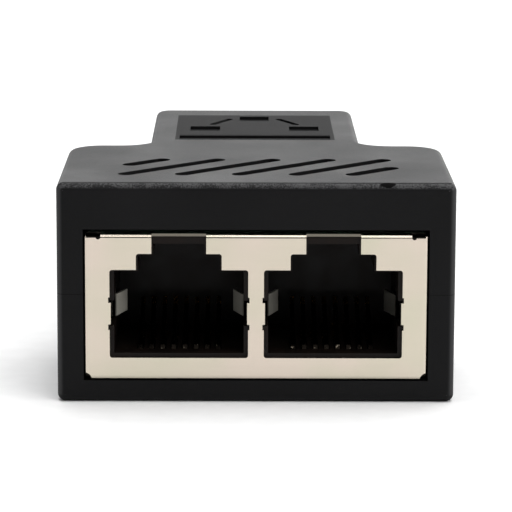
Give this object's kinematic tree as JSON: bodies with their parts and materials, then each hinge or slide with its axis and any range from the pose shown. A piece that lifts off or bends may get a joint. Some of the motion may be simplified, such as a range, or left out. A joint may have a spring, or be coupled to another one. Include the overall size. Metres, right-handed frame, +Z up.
{
  "type": "network port splitter adapter",
  "caption": "T-shaped moulded adapter that joins a shielded network port at the back of its neck to a pair of shielded ports side by side in its wide front.",
  "frame": {"origin": "centre of the housing's underside, halfway between the faces of the two shields", "axes": "+Z up, latch side of the ports up; +Y from the pair of ports at the front to the single port at the back; +X to the right as the front is seen"},
  "size_m": [0.0362, 0.048, 0.0202],
  "materials": {
    "housing_plastic": "matte moulded, fine spark texture",
    "jack_plastic": "satin moulded",
    "shield_metal": "stamped sheet, nickel plated, satin",
    "contact_gold": "drawn wire, gold plated",
    "board_laminate": "glass laminate under solder mask"
  },
  "bodies": {
    "root": {"upper_shell": "housing_plastic", "lower_shell": "housing_plastic", "circuit_board": "board_laminate", "front_shield": "shield_metal", "rear_shield": "shield_metal", "front_jack_body": "jack_plastic", "rear_jack_body": "jack_plastic", "front_left_contact_carrier": "jack_plastic", "front_right_contact_carrier": "jack_plastic", "rear_contact_carrier": "jack_plastic", "front_left_contact_1": "contact_gold", "front_left_contact_2": "contact_gold", "front_left_contact_3": "contact_gold", "front_left_contact_4": "contact_gold", "front_left_contact_5": "contact_gold", "front_left_contact_6": "contact_gold", "front_left_contact_7": "contact_gold", "front_left_contact_8": "contact_gold", "front_right_contact_1": "contact_gold", "front_right_contact_2": "contact_gold", "front_right_contact_3": "contact_gold", "front_right_contact_4": "contact_gold", "front_right_contact_5": "contact_gold", "front_right_contact_6": "contact_gold", "front_right_contact_7": "contact_gold", "front_right_contact_8": "contact_gold", "rear_contact_1": "contact_gold", "rear_contact_2": "contact_gold", "rear_contact_3": "contact_gold", "rear_contact_4": "contact_gold", "rear_contact_5": "contact_gold", "rear_contact_6": "contact_gold", "rear_contact_7": "contact_gold", "rear_contact_8": "contact_gold"}
  },
  "joints": []
}
